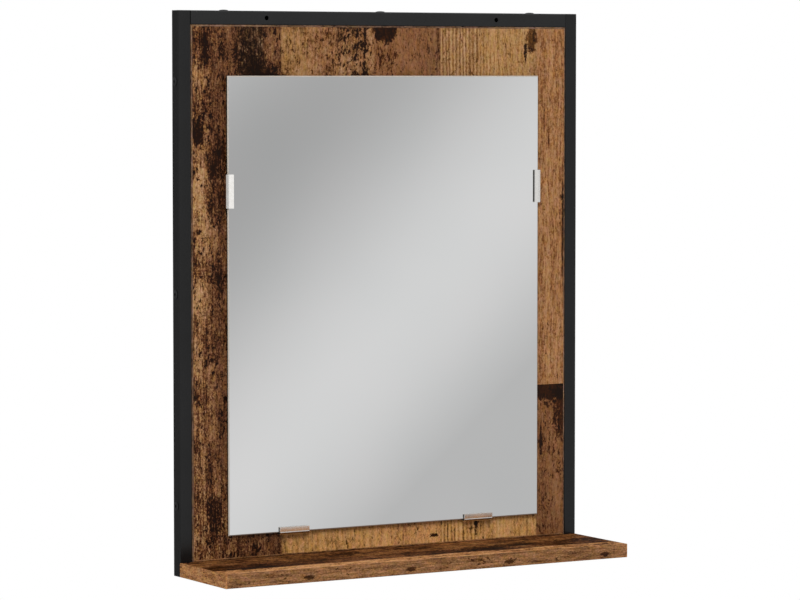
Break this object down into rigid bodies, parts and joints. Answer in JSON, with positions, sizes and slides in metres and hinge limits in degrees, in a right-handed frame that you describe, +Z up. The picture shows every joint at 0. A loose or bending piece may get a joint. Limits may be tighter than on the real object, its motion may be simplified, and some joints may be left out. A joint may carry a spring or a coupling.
{
  "type": "wall mirror with shelf",
  "caption": "Rectangular mirror clipped to a wood-look board inside a black square-tube steel frame, with a shelf board along the bottom; hangs on a wall by its top rail.",
  "frame": {"origin": "on the wall plane, midway between the two wall screw holes in the top rail", "axes": "+X right across the front, +Y into the wall, +Z up"},
  "size_m": [0.5022, 0.12, 0.6022],
  "materials": {
    "frame": "black powder coat, satin",
    "cap": "moulded, fine matte",
    "board": "particle board faced with old-wood-look melamine, satin",
    "edge_band": "wood-look plastic edge band, satin",
    "mirror": "silvered float glass, polished edges",
    "clip": "polished bent steel",
    "pad": "white closed-cell foam tape",
    "black_screw": "black oxide, low domed head with a cross recess",
    "zinc_screw": "bright zinc plate"
  },
  "bodies": {
    "root": {"left_upright": "frame", "right_upright": "frame", "top_rail": "frame", "bottom_rail": "frame", "left_bottom_cap": "cap", "left_top_cap": "cap", "right_bottom_cap": "cap", "right_top_cap": "cap", "panel_board": "board", "shelf_board": "board", "panel_band_left": "edge_band", "panel_band_right": "edge_band", "panel_band_top": "edge_band", "panel_band_bottom": "edge_band", "shelf_band_front": "edge_band", "shelf_band_left": "edge_band", "shelf_band_right": "edge_band", "mirror_glass": "mirror", "mirror_clip_left": "clip", "mirror_clip_right": "clip", "mirror_clip_bottom_left": "clip", "mirror_clip_bottom_right": "clip", "mirror_pad_bottom_left": "pad", "mirror_pad_top_left": "pad", "mirror_pad_bottom_right": "pad", "mirror_pad_top_right": "pad", "left_screw_1": "black_screw", "left_screw_2": "black_screw", "left_screw_3": "black_screw", "right_screw_1": "black_screw", "right_screw_2": "black_screw", "right_screw_3": "black_screw", "top_screw_1": "black_screw", "top_screw_2": "black_screw", "top_screw_3": "black_screw", "bottom_screw_1": "black_screw", "bottom_screw_2": "black_screw", "bottom_screw_3": "black_screw", "shelf_screw_1": "zinc_screw", "shelf_screw_2": "zinc_screw", "shelf_screw_3": "zinc_screw", "shelf_screw_4": "zinc_screw", "clip_left_screw_1": "zinc_screw", "clip_left_screw_2": "zinc_screw", "clip_right_screw_1": "zinc_screw", "clip_right_screw_2": "zinc_screw", "clip_bottom_left_screw_1": "zinc_screw", "clip_bottom_left_screw_2": "zinc_screw", "clip_bottom_right_screw_1": "zinc_screw", "clip_bottom_right_screw_2": "zinc_screw"}
  },
  "joints": []
}
